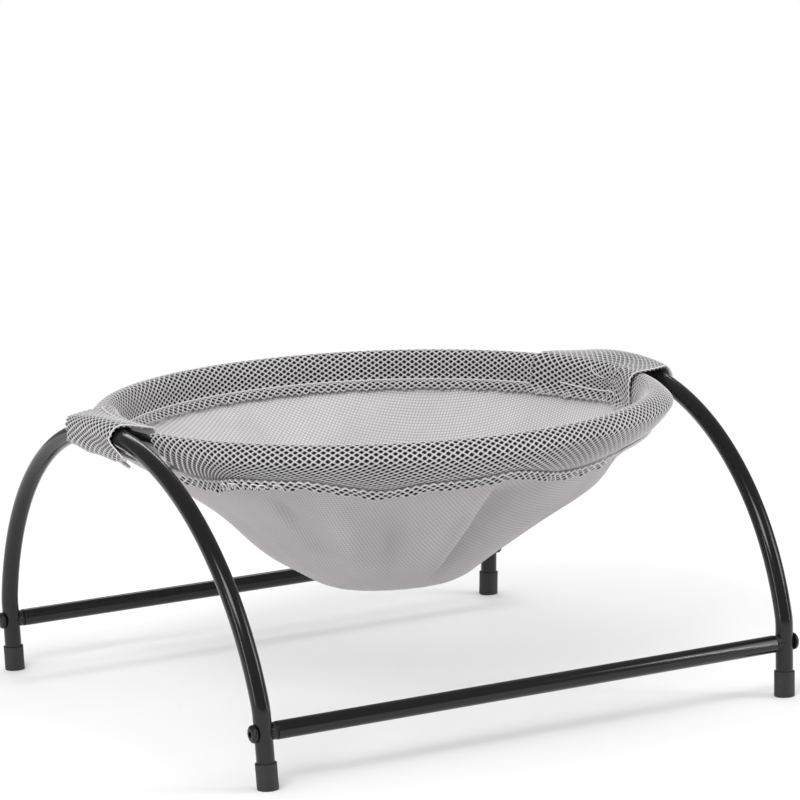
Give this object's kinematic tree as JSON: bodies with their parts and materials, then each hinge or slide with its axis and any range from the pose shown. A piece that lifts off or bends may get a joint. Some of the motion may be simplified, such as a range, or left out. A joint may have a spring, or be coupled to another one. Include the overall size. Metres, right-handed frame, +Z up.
{
  "type": "dog bed",
  "caption": "Raised dog bed: a round mesh-rimmed fabric bowl in a hoop, slung between bent black tube arches that stand on capped feet and are tied by rails.",
  "frame": {"origin": "on the floor, below the middle of the bowl", "axes": "+X along the rails to the right arch, +Y to the back, +Z up"},
  "size_m": [0.4681, 0.4478, 0.2289],
  "materials": {
    "black_steel": "satin black powder coat",
    "bolt_steel": "black oxide",
    "zinc_steel": "zinc plated",
    "black_rubber": "matte",
    "black_plastic": "matte",
    "grey_mesh": "open spacer mesh",
    "grey_cloth": "fine perforated mesh cloth"
  },
  "bodies": {
    "root": {"arch_joiner_left": "black_plastic", "arch_joiner_right": "black_plastic", "arch_left_back": "black_steel", "arch_left_front": "black_steel", "arch_right_back": "black_steel", "arch_right_front": "black_steel", "arch_sleeve_left": "grey_mesh", "arch_sleeve_right": "grey_mesh", "bolt_back_left": "bolt_steel", "bolt_back_right": "bolt_steel", "bolt_front_left": "bolt_steel", "bolt_front_right": "bolt_steel", "bowl": "grey_cloth", "foot_cap_back_left": "black_rubber", "foot_cap_back_right": "black_rubber", "foot_cap_front_left": "black_rubber", "foot_cap_front_right": "black_rubber", "hoop_back": "black_steel", "hoop_ferrule_left": "black_steel", "hoop_ferrule_right": "black_steel", "hoop_front": "black_steel", "rail_back": "black_steel", "rail_front": "black_steel", "rail_insert_back_left": "zinc_steel", "rail_insert_back_right": "zinc_steel", "rail_insert_front_left": "zinc_steel", "rail_insert_front_right": "zinc_steel", "rim_band_back": "grey_mesh", "rim_band_front": "grey_mesh", "saddle_spacer_back_left": "black_plastic", "saddle_spacer_back_right": "black_plastic", "saddle_spacer_front_left": "black_plastic", "saddle_spacer_front_right": "black_plastic"}
  },
  "joints": []
}
